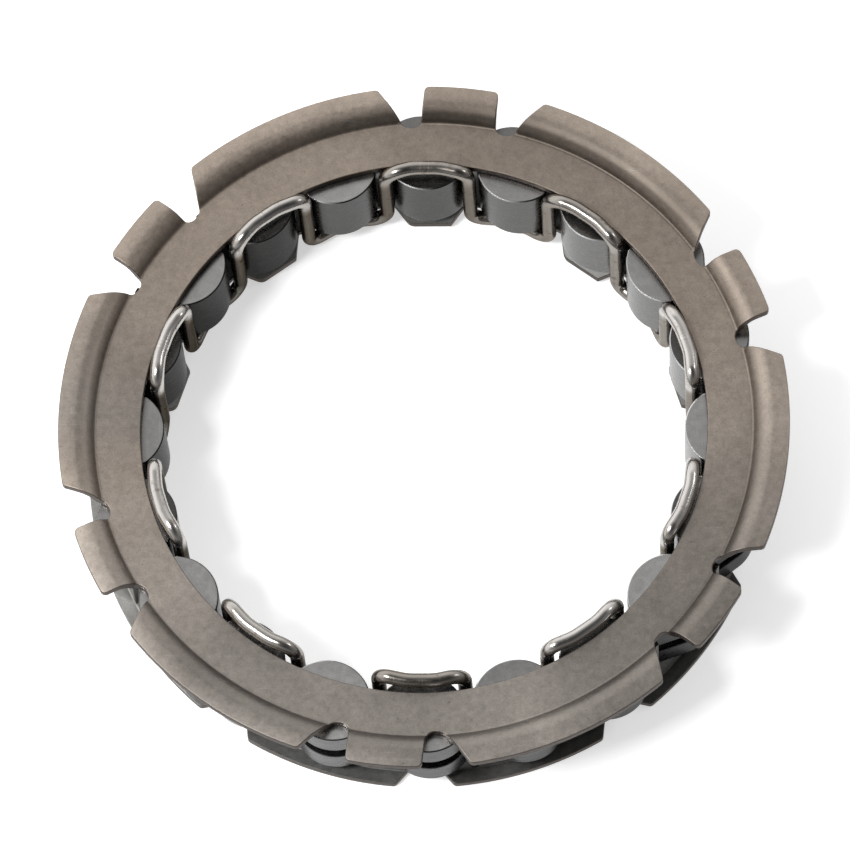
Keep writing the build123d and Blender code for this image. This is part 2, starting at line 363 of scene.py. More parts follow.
def sheet_mesh(outer, inner, bands, top, bottom, edges):
    """Closed mesh of a pressed sheet.

    outer and inner are its outlines, clockwise, bands are its rings of points, top and bottom give the
    heights of its faces, and edges how far its upper and lower edges are softened.
    """
    grid = np.concatenate([circle(r, grid_step) for band in bands for r in np.arange(*band)])
    rims = [(loop, right, *side_normals(loop, right)) for loop, right in ((outer, True), (inner, False))]
    block_size = 2000
    verts, normals, edge_mark, faces = [], [], [], []
    rows = {}
    for side, height, edge in ((1, top, edges[0]), (-1, bottom, edges[1])):
        insets = [loop + reach * edge for loop, _, _, reach in rims]
        points = grid[inside_loop(grid, insets[0]) & ~inside_loop(grid, insets[1])]
        border = np.concatenate(insets)
        near = np.zeros(len(points))
        for start in range(0, len(points), block_size):
            block = points[start:start + block_size]
            d = np.hypot(block[:, None, 0] - border[None, :, 0], block[:, None, 1] - border[None, :, 1])
            near[start:start + block_size] = d.min(1)
        plan = np.concatenate(insets + [points[near > border_gap]])
        seams = []
        first = 0
        for inset in insets:
            count = len(inset)
            seams += [(first + i, first + (i + 1) % count) for i in range(count)]
            first += count
        flat, _, tris, origin, _, _ = geometry.delaunay_2d_cdt(
            [Vector(p) for p in plan.tolist()], seams, [], 1, 1e-6, True)
        flat = np.array([tuple(v) for v in flat])
        tris = np.array([list(t) for t in tris])
        middle = flat[tris].mean(1)
        wanted = inside_loop(middle, insets[0]) & ~inside_loop(middle, insets[1])
        tris = tris[wanted]
        where = {}
        for index, sources in enumerate(origin):
            for source in sources:
                where[source] = index
        base = len(verts)
        z = height(flat)
        verts += np.column_stack([flat, z]).tolist()
        normals += surface_normals(height, flat, side).tolist()
        edge_mark += [0.0] * len(flat)
        faces += (tris + base if side > 0 else tris[:, ::-1] + base).tolist()
        first = 0
        for number, (loop, _, unit, reach) in enumerate(rims):
            count = len(loop)
            row = [base + where[first + i] for i in range(count)]
            first += count
            chain = [row]
            for angle in (22.5, 45.0, 67.5, 90.0):
                c, s = cos(radians(angle)), sin(radians(angle))
                xy = loop + reach * edge * (1 - s)
                z = height(xy) - side * edge * (1 - c)
                up = surface_normals(height, xy, side)
                out = np.column_stack([-unit, np.zeros(count)])
                start = len(verts)
                verts += np.column_stack([xy, z]).tolist()
                normals += (up * c + out * s).tolist()
                edge_mark += [s] * count
                chain.append(list(range(start, start + count)))
            rows[(number, side)] = chain
    for number, (_, right, _, _) in enumerate(rims):
        chain = rows[(number, 1)] + rows[(number, -1)][::-1]
        for a, b in zip(chain, chain[1:]):
            for i in range(len(a)):
                j = (i + 1) % len(a)
                quad = [a[i], a[j], b[j], b[i]]
                faces.append(quad if right else quad[::-1])
    return np.array(verts), faces, np.array(normals), np.array(edge_mark)


def joggle(low, high, fold_r, run, tip_r, radii):
    """One face of a joggled sheet, as radii and heights: level at low, rising, then level at high."""
    line = [(bore_r - 3, low), (fold_r, low), (fold_r + run, high), (tip_r + 1, high)]
    path = rounded(line, [0, *radii, 0], False, 3.0)
    return path[:, 0], path[:, 1]


def face_height(path, drop):
    """The height of a plate's face as a function of plan points, from its joggle and its own drop."""
    return lambda xy: np.interp(np.hypot(xy[:, 0], xy[:, 1]), *path) - drop(xy)


def with_arcs(points, radii, r):
    """A closed outline with points on its arcs at radius r, between corners that both lie on it."""
    on_arc = 0.01
    out, sizes = [], []
    for a, b, size in zip(points, points[1:] + points[:1], radii):
        out.append(np.asarray(a))
        sizes.append(size)
        if abs(np.linalg.norm(a) - r) > on_arc or abs(np.linalg.norm(b) - r) > on_arc:
            continue
        start, sweep = sweep_between(a, b)
        count = int(sweep * r / arc_step)
        for k in range(1, count):
            angle = start + sweep * k / count
            out.append(r * np.array([sin(angle), cos(angle)]))
            sizes.append(0.0)
    return out, sizes


def circle(r, step):
    """Plan points on a whole circle, clockwise, a step apart in degrees."""
    az = np.radians(np.arange(0, 360, step))
    return np.stack([r * np.sin(az), r * np.cos(az)], 1)


# Nodes of the materials.
def new_material(name):
    material = bpy.data.materials.new(name)
    material.use_nodes = True
    tree = material.node_tree
    return material, tree, tree.nodes["Principled BSDF"]


def add(tree, kind, **values):
    node = tree.nodes.new(kind)
    for key, value in values.items():
        setattr(node, key, value)
    return node


def connect(tree, value, socket):
    """Links an output to the socket, or sets the number or colour on it."""
    if hasattr(value, "is_linked"):
        tree.links.new(value, socket)
    else:
        socket.default_value = (*value, 1.0) if isinstance(value, tuple) else value


def noise(tree, vector, scale, detail, rough):
    node = add(tree, "ShaderNodeTexNoise")
    node.inputs["Scale"].default_value = scale
    node.inputs["Detail"].default_value = detail
    node.inputs["Roughness"].default_value = rough
    tree.links.new(vector, node.inputs["Vector"])
    return node.outputs["Fac"]


def grey(value):
    return (value, value, value)


def ramp(tree, value, *stops):
    """Colours by value. A stop is a place and a colour, or a place and a grey's number."""
    node = add(tree, "ShaderNodeValToRGB")
    elements = node.color_ramp.elements
    while len(elements) < len(stops):
        elements.new(0.5)
    for element, (place, colour) in zip(elements, stops):
        element.position = place
        element.color = (*(colour if isinstance(colour, tuple) else grey(colour)), 1.0)
    tree.links.new(value, node.inputs["Fac"])
    return node.outputs["Color"]


def math_node(tree, operation, *values):
    node = add(tree, "ShaderNodeMath", operation=operation)
    for value, socket in zip(values, node.inputs):
        connect(tree, value, socket)
    return node.outputs[0]


def product(tree, a, b):
    return math_node(tree, "MULTIPLY", a, b)


def mix(tree, factor, a, b, blend="MIX"):
    node = add(tree, "ShaderNodeMix", data_type="RGBA", blend_type=blend)
    for index, value in ((0, factor), (6, a), (7, b)):
        connect(tree, value, node.inputs[index])
    return node.outputs[2]


def times(tree, a, b):
    """One colour multiplied by another."""
    return mix(tree, 1.0, a, b, "MULTIPLY")


def attribute(tree, name, output="Fac"):
    return add(tree, "ShaderNodeAttribute", attribute_name=name).outputs[output]


def grey_attribute(tree, name):
    """A number kept on the points, as a grey."""
    node = add(tree, "ShaderNodeCombineXYZ")
    value = attribute(tree, name)
    for socket in node.inputs:
        tree.links.new(value, socket)
    return node.outputs[0]


def stretched(tree, source, scale, turn=0):
    node = add(tree, "ShaderNodeMapping")
    node.inputs["Rotation"].default_value = (0, 0, radians(turn))
    node.inputs["Scale"].default_value = scale
    tree.links.new(source, node.inputs["Vector"])
    return node.outputs["Vector"]


def bump(tree, height, distance, strength, normal=None):
    node = add(tree, "ShaderNodeBump")
    node.inputs["Distance"].default_value = distance
    node.inputs["Strength"].default_value = strength
    tree.links.new(height, node.inputs["Height"])
    if normal is not None:
        tree.links.new(normal, node.inputs["Normal"])
    return node.outputs["Normal"]


def lines(tree, where, turn, across, along, low, high):
    """Hairline scratches in one direction, as a value from 0 to 1."""
    run = stretched(tree, where, (along, across, along), turn)
    return ramp(tree, noise(tree, run, 1.0, 2.0, 0.5), (low, 0), (high, 1))


def cage_material(name, dark, light, edge_shade_colour):
    """Pressed and tumbled steel, warm grey, with small pits, scratches and painted brownish shade on sheared
    edges.
    """
    material, tree, shader = new_material(name)
    where = stretched(tree, add(tree, "ShaderNodeTexCoord").outputs["Object"], grey(1 / MM))
    broad = noise(tree, where, 0.11, 3.0, 0.5)
    fine = noise(tree, where, 1.6, 6.0, 0.65)
    grain = noise(tree, where, 9.0, 3.0, 0.6)
    base = mix(tree, ramp(tree, broad, (0.35, 0), (0.65, 1)), dark, light)
    base = times(tree, base, ramp(tree, fine, (0.25, 0.80), (0.75, 1.12)))
    base = times(tree, base, ramp(tree, grain, (0.3, 0.86), (0.7, 1.14)))
    # Painted light and shade, kept on the points as tone.
    base = times(tree, base, grey_attribute(tree, "tone"))
    tint = ramp(tree, attribute(tree, "warmth"), (0.0, (0.985, 1.02, 1.06)), (1.0, (1.02, 0.985, 0.955)))
    base = times(tree, base, tint)
    scratch = math_node(tree, "ADD", lines(tree, where, 62, 7.0, 0.22, 0.68, 0.74),
                        lines(tree, where, 118, 6.0, 0.18, 0.70, 0.75))
    base = mix(tree, product(tree, scratch, 0.10), base, grey(0.45))
    pits = ramp(tree, noise(tree, where, 2.3, 2.0, 0.5), (0.25, 1), (0.29, 0))
    base = mix(tree, product(tree, pits, 0.3), base, (0.03, 0.025, 0.02))
    # Painted shade on the sheared edges and their softened corners, dark and brownish.
    edge_shade = math_node(tree, "POWER", attribute(tree, "edge"), 1.5)
    base = mix(tree, product(tree, edge_shade, 0.9), base, edge_shade_colour)
    tree.links.new(base, shader.inputs["Base Color"])
    shader.inputs["Metallic"].default_value = 1.0
    tree.links.new(ramp(tree, fine, (0.2, 0.42), (0.8, 0.56)), shader.inputs["Roughness"])
    low = bump(tree, grain, 0.00001, 0.5)
    tree.links.new(bump(tree, fine, 0.00003, 0.35, low), shader.inputs["Normal"])
    return material


def sprag_material(name):
    """Hardened sprag: ground end faces, dark rolled flanks, fine streaks round the crown, and painted light
    and shade.
    """
    material, tree, shader = new_material(name)
    shift = add(tree, "ShaderNodeCombineXYZ")
    tree.links.new(attribute(tree, "seed"), shift.inputs[2])
    moved = add(tree, "ShaderNodeVectorMath", operation="ADD")
    tree.links.new(attribute(tree, "local", "Vector"), moved.inputs[0])
    tree.links.new(shift.outputs[0], moved.inputs[1])
    where = moved.outputs[0]
    end = attribute(tree, "end")
    crown = attribute(tree, "crown")
    streaks = noise(tree, stretched(tree, where, (0.35, 0.35, 7.0)), 1.0, 5.0, 0.6)
    mottle = noise(tree, where, 1.1, 4.0, 0.6)
    grain = noise(tree, where, 12.0, 3.0, 0.6)
    side = ramp(tree, mottle, (0.3, (0.125, 0.123, 0.120)), (0.7, (0.150, 0.148, 0.145)))
    land = ramp(tree, streaks, (0.3, 0.13), (0.7, 0.24))
    # Painted light and shade round the ring on the flanks and crowns.
    flank = times(tree, mix(tree, crown, side, land), grey_attribute(tree, "side_light_and_shade"))
    face = ramp(tree, mottle, (0.3, (0.295, 0.290, 0.283)), (0.7, (0.35, 0.344, 0.336)))
    ground = math_node(tree, "ADD", lines(tree, where, 35, 9.0, 0.4, 0.60, 0.72),
                       lines(tree, where, 100, 9.0, 0.4, 0.64, 0.74))
    face = mix(tree, product(tree, ground, 0.13), face, grey(0.6))
    # Painted shade on the end faces under the wire loops and outside, and light and shade round the ring.
    face = times(tree, face, grey_attribute(tree, "face_light_and_shade"))
    base = mix(tree, end, flank, face)
    base = times(tree, base, ramp(tree, grain, (0.3, 0.97), (0.7, 1.03)))
    # Painted shade on the chamfers of the ends.
    base = mix(tree, product(tree, attribute(tree, "rim"), 0.8), base, grey(0.02))
    # A painted highlight along one side of the nose chamfer.
    base = mix(tree, attribute(tree, "glint"), base, grey(0.7))
    tree.links.new(base, shader.inputs["Base Color"])
    # Painted light and shade in the reflections of the flanks and crowns, round the ring.
    graze = mix(tree, end, grey_attribute(tree, "graze"), grey(1.0))
    tree.links.new(graze, shader.inputs["Specular Tint"])
    shader.inputs["Metallic"].default_value = 1.0
    tree.links.new(ramp(tree, mottle, (0.2, 0.22), (0.8, 0.32)), shader.inputs["Roughness"])
    height = math_node(tree, "ADD", product(tree, streaks, crown), grain)
    tree.links.new(bump(tree, height, 0.000001, 0.4), shader.inputs["Normal"])
    return material


def wire_material(name, colour, roughness):
    """Drawn wire with fine lines along it, dull spots, nicks across the middles of the loops, and painted
    light and shade.
    """
    material, tree, shader = new_material(name)
    local = attribute(tree, "local", "Vector")
    drawn = noise(tree, stretched(tree, local, (0.25, 6.0, 6.0)), 1.0, 4.0, 0.6)
    spots = noise(tree, local, 0.9, 3.0, 0.6)
    across = noise(tree, stretched(tree, local, (4.5, 0.4, 0.4)), 1.0, 3.0, 0.6)
    dim, light, bright = (tuple(c * k for c in colour) for k in (0.86, 1.08, 1.4))
    base = ramp(tree, drawn, (0.3, dim), (0.7, light))
    base = times(tree, base, ramp(tree, spots, (0.30, (0.62, 0.58, 0.54)), (0.40, 1)))
    near_middle = ramp(tree, attribute(tree, "mid"), (0.10, 1), (0.24, 0))
    nicks = product(tree, ramp(tree, across, (0.58, 0), (0.62, 1)), near_middle)
    base = mix(tree, product(tree, nicks, 0.4), base, bright)
    # Painted light and shade from the tone on the points, in the colour and in the reflections.
    light_and_shade = ramp(tree, attribute(tree, "tone"), (0.0, 0), (0.5, (0.53, 0.51, 0.48)), (1.0, 1))
    tree.links.new(times(tree, base, light_and_shade), shader.inputs["Base Color"])
    tree.links.new(light_and_shade, shader.inputs["Specular Tint"])
    shader.inputs["Metallic"].default_value = 1.0
    rough = ramp(tree, spots, (0.3, roughness * 1.5), (0.6, roughness))
    tree.links.new(rough, shader.inputs["Roughness"])
    height = math_node(tree, "SUBTRACT", product(tree, drawn, 0.3), nicks)
    tree.links.new(bump(tree, height, 0.000003, 0.4), shader.inputs["Normal"])
    return material


upper_steel = cage_material("pressed_steel_upper", dark=(0.205, 0.178, 0.154), light=(0.245, 0.214, 0.185),
                            edge_shade_colour=(0.034, 0.024, 0.019))
lower_steel = cage_material("pressed_steel_lower", dark=(0.17, 0.162, 0.148), light=(0.21, 0.202, 0.188),
                            edge_shade_colour=(0.06, 0.045, 0.035))
sprag_steel = sprag_material("sprag_steel")
wire_steel = wire_material("drawn_wire", (0.44, 0.42, 0.40), 0.2)
spring_steel = wire_material("spring_wire", (0.36, 0.35, 0.34), 0.28)


def upper_outlines():
    """The rim with its twelve notches, and the bore."""
    wide_x = narrow_tab_half + notch_floor_width
    floor_y = sqrt((upper_fold_r - notch_floor_inset) ** 2 - (narrow_tab_half + notch_corner_r) ** 2)
    slope = tan(radians(notch_slant))
    foot = np.array([wide_x, floor_y])
    way = np.array([slope, 1.0]) / hypot(slope, 1.0)
    along = -foot @ way + sqrt((foot @ way) ** 2 - foot @ foot + upper_tip_r**2)
    wide_tip = foot + way * along
    narrow_tip = np.array([narrow_tab_half, sqrt(upper_tip_r**2 - narrow_tab_half**2)])
    half = [narrow_tip, (narrow_tab_half, floor_y), tuple(foot), wide_tip]
    left = [(-x, y) for x, y in half][::-1]
    radii = [tab_corner_r, notch_corner_r, notch_corner_r, tab_corner_r]
    points, sizes = [], []
    for number in range(6):
        points += list(turned(left + half, first_narrow_tab + 60 * number))
        sizes += radii[::-1] + radii
    points, sizes = with_arcs(points, sizes, upper_tip_r)
    return divided(rounded(points, sizes, True, 8.0), upper_tip_r), circle(bore_r, bore_step)


def lip_fall(xy):
    """The level part of the tabs is crowned a little and falls towards the tips."""
    r = np.hypot(xy[:, 0], xy[:, 1])
    return lip_droop * np.clip((r - lip_crown_r) / (upper_tip_r - lip_crown_r), 0, 1) ** 2


def upper_plate():
    outer, inner = upper_outlines()
    half_bend = atan2(joggle_rise, upper_run) / 2
    top_path = joggle(flat_z, lip_z, upper_fold_r, upper_run, upper_tip_r, (crease_r, upper_crest_r))
    low_path = joggle(plate_z, lip_z - sheet_t, upper_fold_r + sheet_t * tan(half_bend), upper_run,
                      upper_tip_r, (crease_r + sheet_t, upper_crest_r - sheet_t))
    verts, faces, normals, edge = sheet_mesh(
        outer, inner, upper_bands, face_height(top_path, lip_fall), face_height(low_path, lip_fall),
        upper_edges)
    r, az = polar(verts)
    az = az % 360
    # The tone is painted light and shade, across the rim and round the ring.
    tone = np.interp(r, *upper_across) * np.interp(az, *upper_round)
    tone = tone * (1 + np.interp(r, *on_slope) * (np.interp(az, *slope_round) - 1))
    tone = tone * (1 + np.interp(r, *on_lip) * (np.interp(az, *lip_round) - 1))
    tone = tone * (1 - np.interp(r, *on_crease) * np.interp(az, *crease_dark))
    tone = tone * (1 - np.interp(r, *on_crest) * np.interp(az, *crest_dark))
    make_object("upper_plate_skin", verts, faces, upper_steel, "cage", ["upper_plate"],
                normals, {"edge": edge, "tone": tone, "warmth": np.interp(az, *upper_warmth)})


def lower_outlines():
    """The rim with its ten notches, and the bore with its ten tongues."""
    half = lower_notch_half
    tip_y = sqrt(lower_tip_r**2 - half**2)
    notch = [(-half, tip_y), (0, tip_y - half / tan(radians(lower_notch_slant))), (half, tip_y)]
    points, sizes = [], []
    for number in range(0, sprag_count, 2):
        points += list(turned(notch, number * pitch))
        sizes += [tab_corner_r, lower_notch_corner_r, tab_corner_r]
    points, sizes = with_arcs(points, sizes, lower_tip_r)
    outer = divided(rounded(points, sizes, True, 8.0), lower_tip_r)

    # The sides of a tongue meet the bore where this settles.
    spread = tan(radians(tongue_slant))
    root_y = 29.0
    for _ in range(8):
        root_x = tongue_half + (root_y - tongue_tip_r) * spread
        root_y = sqrt(bore_r**2 - root_x**2)
    root_az = degrees(atan2(root_x, root_y))
    tongue = [(-root_x, root_y), (-tongue_half, tongue_tip_r), (tongue_half + tongue_skew, tongue_tip_r),
              (root_x + tongue_skew, root_y)]
    shape = rounded(tongue, [0.0, *tongue_corners, 0.0], False, 12.0)
    parts = 12
    inner = []
    for number in range(0, sprag_count, 2):
        inner += turned(shape, number * pitch).tolist()
        start = number * pitch + root_az
        sweep = 2 * (pitch - root_az)
        inner += [on_circle(bore_r, start + sweep * k / parts).tolist() for k in range(1, parts)]
    return outer, divided(np.array(inner), bore_r)


def tongue_drop(xy):
    """How far the tongues are bent down."""
    r, az = polar(xy)
    off = az - np.round(az / (2 * pitch)) * 2 * pitch
    x = r * np.sin(np.radians(off))
    y = r * np.cos(np.radians(off))
    s = np.maximum(tongue_bend_y - y, 0)
    slope = tongue_fall / (tongue_bend_y - tongue_tip_r - tongue_bend / 2)
    drop = np.where(s < tongue_bend, s**2 / (2 * tongue_bend) * slope, slope * (s - tongue_bend / 2))
    return drop * np.clip((tongue_reach_x - np.abs(x)) / tongue_fade, 0, 1)


def lower_plate():
    outer, inner = lower_outlines()
    half_bend = atan2(joggle_rise, lower_run) / 2
    top_path = joggle(-plate_z, sheet_t - lip_z, lower_fold_r, lower_run, lower_tip_r,
                      (crease_r + sheet_t, lower_crest_r - sheet_t))
    low_path = joggle(-flat_z, -lip_z, lower_fold_r - sheet_t * tan(half_bend), lower_run, lower_tip_r,
                      (crease_r, lower_crest_r))
    verts, faces, normals, edge = sheet_mesh(
        outer, inner, lower_bands, face_height(top_path, tongue_drop), face_height(low_path, tongue_drop),
        lower_edges)
    verts, normals, edge = verts.tolist(), normals.tolist(), edge.tolist()
    heel_end = heel_x + heel_flank * cos(radians(heel_fall))
    window_from = degrees(atan2(-toe_x - toe_room, pillar_mid_r))
    window_to = degrees(atan2(heel_end + heel_room, pillar_mid_r))
    for number in range(sprag_count):
        start, end = number * pitch + window_to, (number + 1) * pitch + window_from
        add_pillar(verts, faces, normals, edge, start, end)
    verts = np.array(verts)
    z = verts[:, 2]
    r, az = polar(verts)
    above_plate = z > -plate_z + 0.05
    pillar_foot = (z < pillar_low_z + 0.01) & (r < pillar_outer_r + 0.01)
    # The tone is painted shade across the plate and on the pillars, and painted light on the key side.
    tone = np.where(above_plate | pillar_foot, pillar_shade, np.interp(r, *lower_across))
    tone = tone * np.interp(az % 360, *lower_round)
    make_object("lower_plate_skin", verts, faces, lower_steel, "cage", ["lower_plate"],
                np.array(normals), {"edge": np.array(edge), "tone": tone, "warmth": np.zeros(len(r))})


def add_pillar(verts, faces, normals, edge, start, end):
    """One pillar, a bent bar with softened long edges."""
    lean = degrees(pillar_soft / pillar_outer_r)
    steps = (0, 30, 60, 90)
    ring, ring_n, ring_e = [], [], []

    def corner(r, az, outward, ahead, order):
        for angle in order:
            c, s = cos(radians(angle)), sin(radians(angle))
            aa = az + ahead * lean * s
            radial = on_circle(1, aa)
            tangent = np.array([radial[1], -radial[0]])
            ring.append(on_circle(r + outward * pillar_soft * c, aa))
            ring_n.append(radial * outward * c + tangent * ahead * s)
            ring_e.append(1.0 if 0 < angle < 90 else 0.3)

    def face(r, outward, azimuths):
        for az in azimuths:
            ring.append(on_circle(r, az))
            ring_n.append(outward * on_circle(1, az))
            ring_e.append(0.0)

    inner, outer = pillar_inner_r + pillar_soft, pillar_outer_r - pillar_soft
    low, high = start + lean, end - lean
    middle = [low + (high - low) * k / 4 for k in (1, 2, 3)]
    corner(outer, low, 1, -1, steps[::-1])
    face(pillar_outer_r, 1, middle)
    corner(outer, high, 1, 1, steps)
    corner(inner, high, -1, 1, steps[::-1])
    face(pillar_inner_r, -1, middle[::-1])
    corner(inner, low, -1, -1, steps)
    count = len(ring)
    base = len(verts)
    for z in (pillar_low_z, plate_z + pillar_sink):
        for p, n, e in zip(ring, ring_n, ring_e):
            verts.append([p[0], p[1], z])
            normals.append([n[0], n[1], 0.0])
            edge.append(e)
    for i in range(count):
        j = (i + 1) % count
        faces.append([base + i + count, base + j + count, base + j, base + i])
    faces.append([base + i for i in range(count)])
    faces.append([base + count + i for i in range(count)][::-1])


def arc_between(centre, r, start, end, count):
    a0 = atan2(start[1] - centre[1], start[0] - centre[0])
    a1 = atan2(end[1] - centre[1], end[0] - centre[0])
    if a1 - a0 > pi:
        a1 -= 2 * pi
    if a0 - a1 > pi:
        a1 += 2 * pi
    return [(centre[0] + r * cos(a), centre[1] + r * sin(a)) for a in np.linspace(a0, a1, count)]


def sagged(start, end, sag, count):
    """Points of a shallow arc that bulges to the right of the way by sag."""
    a, b = np.array(start, float), np.array(end, float)
    way = b - a
    span = np.linalg.norm(way)
    side = np.array([way[1], -way[0]]) / span
    w = np.linspace(0, 1, count)
    return [tuple(a + way * k + side * sag * 4 * k * (1 - k)) for k in w]


def sprag_profile():
    """Outline of a sprag at azimuth 0, clockwise, with softened corners."""
    corner_y = pivot_r - sqrt(nose_r**2 - nose_half_width**2)
    left = (-nose_half_width, corner_y)
    right = (nose_half_width, corner_y)
    shoulder = (shoulder_x, corner_y + shoulder_rise)
    top_y = crown_centre_y + sqrt(crown_r**2 - (heel_x + crown_shift) ** 2)
    heel_top = (heel_x, top_y)
    fall = radians(heel_fall)
    heel_low = (heel_x + heel_flank * cos(fall), top_y - heel_flank * sin(fall))
    toe = (-toe_x, crown_centre_y + sqrt(crown_r**2 - (-toe_x + crown_shift) ** 2))
    curves = [
        arc_between((0, pivot_r), nose_r, right, left, 48),
        sagged(left, toe, waist_sag, 16),
        arc_between((-crown_shift, crown_centre_y), crown_r, toe, heel_top, 40),
        sagged(heel_top, heel_low, 0.0, 8),
        sagged(heel_low, shoulder, waist_sag, 18),
        sagged(shoulder, right, 0.0, 8),
    ]
    pieces = []
    for number, curve in enumerate(curves):
        pts = np.array(curve)
        length = np.concatenate([[0], np.cumsum(np.linalg.norm(np.diff(pts, axis=0), axis=1))])
        first = corner_cuts[number - 1]
        last = length[-1] - corner_cuts[number]
        inside = (length > first + 0.02) & (length < last - 0.02)
        s = np.concatenate([[first], length[inside], [last]])
        pieces.append(np.stack([np.interp(s, length, pts[:, 0]), np.interp(s, length, pts[:, 1])], 1))
    out = []
    for number, piece in enumerate(pieces):
        out += piece.tolist()
        following = pieces[(number + 1) % len(pieces)]
        corner = np.array(curves[number][-1])
        a, c = piece[-1], following[0]
        for k in (0.2, 0.4, 0.6, 0.8):
            out.append(((1 - k) ** 2 * a + 2 * k * (1 - k) * corner + k**2 * c).tolist())
    return np.array(out)


def sprag_rings():
    """Rings of one sprag from its lower end to its upper end, with the groove."""
    profile = sprag_profile()
    _, reach = side_normals(profile, True)
    r = np.hypot(profile[:, 0], profile[:, 1])
    az = np.arctan2(profile[:, 0], profile[:, 1])
    deep = r > groove_floor_r
    clear = az[~deep]
    floor_az = np.clip(az, clear.min() + 0.001, clear.max() - 0.001)
    floor = profile.copy()
    floor[deep] = np.stack([groove_floor_r * np.sin(floor_az), groove_floor_r * np.cos(floor_az)], 1)[deep]
    lipped = profile + reach * (groove_lip * np.clip((r - groove_floor_r) / 0.3, 0, 1))[:, None]
    half = [(groove_half, floor), (groove_half, lipped), (groove_half + groove_lip, profile)]
    half += [(sprag_half - depth, profile + reach * inset) for depth, inset in end_steps]
    return [(-z, loop) for z, loop in half[::-1]] + half


def sprag_finish(local, verts, number):
    """What the material needs to know at each point of one sprag."""
    az = number * pitch
    level = np.abs(local[:, 2])
    r = np.hypot(local[:, 0], local[:, 1])
    crown = np.clip((local[:, 1] - crown_centre_y - 1.0) / 0.6, 0, 1)
    # Painted shade on the outer part of the end faces and on the upper ends under the wire loops.
    face_light_and_shade = np.interp(r, [29.0, 31.5], [1.0, np.interp(az, *face_outside)])
    if number % 2 == 0:
        under_loop = np.interp(r, [29.3, 30.5], [0.3, 1.0])
        face_light_and_shade = face_light_and_shade * np.where(local[:, 2] > 0, under_loop, 1.0)
    # Painted light and shade on the flanks, crowns and their reflections, by azimuth.
    flank, land, graze = (np.interp(az, *table) for table in (flank_round, crown_round, graze_round))
    # The chamfer of an end gets painted shade, and a painted highlight along one side of the nose.
    rim = ((level > sprag_half - 0.13) & (level < sprag_half - 0.01)).astype(float)
    from_middle = verts[:, 0] - pivot_r * sin(radians(az))
    glint = np.clip((0.9 - from_middle) / 2.4, 0, 1) * (r < 30.5)
    return {
        "local": local - [0, pivot_r, 0],
        "end": (level > sprag_half - 0.01).astype(float),
        "crown": crown,
        "seed": np.full(len(local), number * 7.3),
        "face_light_and_shade": face_light_and_shade * np.interp(az, *face_round),
        "graze": graze + (min(land, 1) - graze) * crown,
        "glint": rim * glint,
        "rim": rim * (1 - glint),
        "side_light_and_shade": flank + (land - flank) * crown,
    }


def sprags():
    rings = sprag_rings()
    count = len(rings[0][1])
    local = np.concatenate([np.column_stack([p, np.full(count, z)]) for z, p in rings])
    faces = []
    for ring in range(len(rings) - 1):
        for i in range(count):
            j = (i + 1) % count
            a, b = ring * count, (ring + 1) * count
            faces.append([a + i, b + i, b + j, a + j])
    faces.append(list(range(count)))
    faces.append([(len(rings) - 1) * count + i for i in range(count)][::-1])
    for number in range(sprag_count):
        name = "sprag_%02d" % (number + 1)
        verts = local.copy()
        verts[:, :2] = turned(local[:, :2], number * pitch)
        obj = make_object(name + "_skin", verts, faces, sprag_steel, name, [name], None,
                          sprag_finish(local, verts, number))
        tidy_mesh(obj, 28)


def tidy_mesh(obj, angle):
    """Merges points that meet, marks sharp edges and weights the normals by area."""
    bm = bmesh.new()
    bm.from_mesh(obj.data)
    bmesh.ops.remove_doubles(bm, verts=bm.verts, dist=2e-7)
    bmesh.ops.dissolve_degenerate(bm, edges=bm.edges, dist=1e-7)
    bm.to_mesh(obj.data)
    bm.free()
    obj.data.polygons.foreach_set("use_smooth", [True] * len(obj.data.polygons))
    obj.data.set_sharp_from_angle(angle=radians(angle))
    weighted = obj.modifiers.new("weighted", "WEIGHTED_NORMAL")
    weighted.keep_sharp = True
    weighted.weight = 80


def wire_path():
    """The line of the wire: over the first sprag, under the next, and so on."""
    points, radii = [], []
    bends = [wide_bend_r, loop_knee_r, loop_knee_r, tight_bend_r]
    for number in range(sprag_count):
        az = number * pitch
        level = upper_loop_z if number % 2 == 0 else lower_loop_z
        leg_a = on_circle(leg_r, az - pitch / 2)
        leg_b = on_circle(leg_r, az + pitch / 2)
        knee_a, knee_b = turned([(-loop_flat / 2, loop_r), (loop_flat / 2, loop_r)], az)
        for p in (leg_a, knee_a, knee_b, leg_b):
            points.append([p[0], p[1], level])
        radii += bends if number % 2 == 0 else bends[::-1]
    path = rounded(points, radii, True, 5.0)
    out = []
    for a, b in zip(path, np.roll(path, -1, axis=0)):
        out.append(a)
        count = int(ceil(np.linalg.norm(b - a) / wire_step))
        out += [a + (b - a) * k / count for k in range(1, count)]
    return np.array(out)


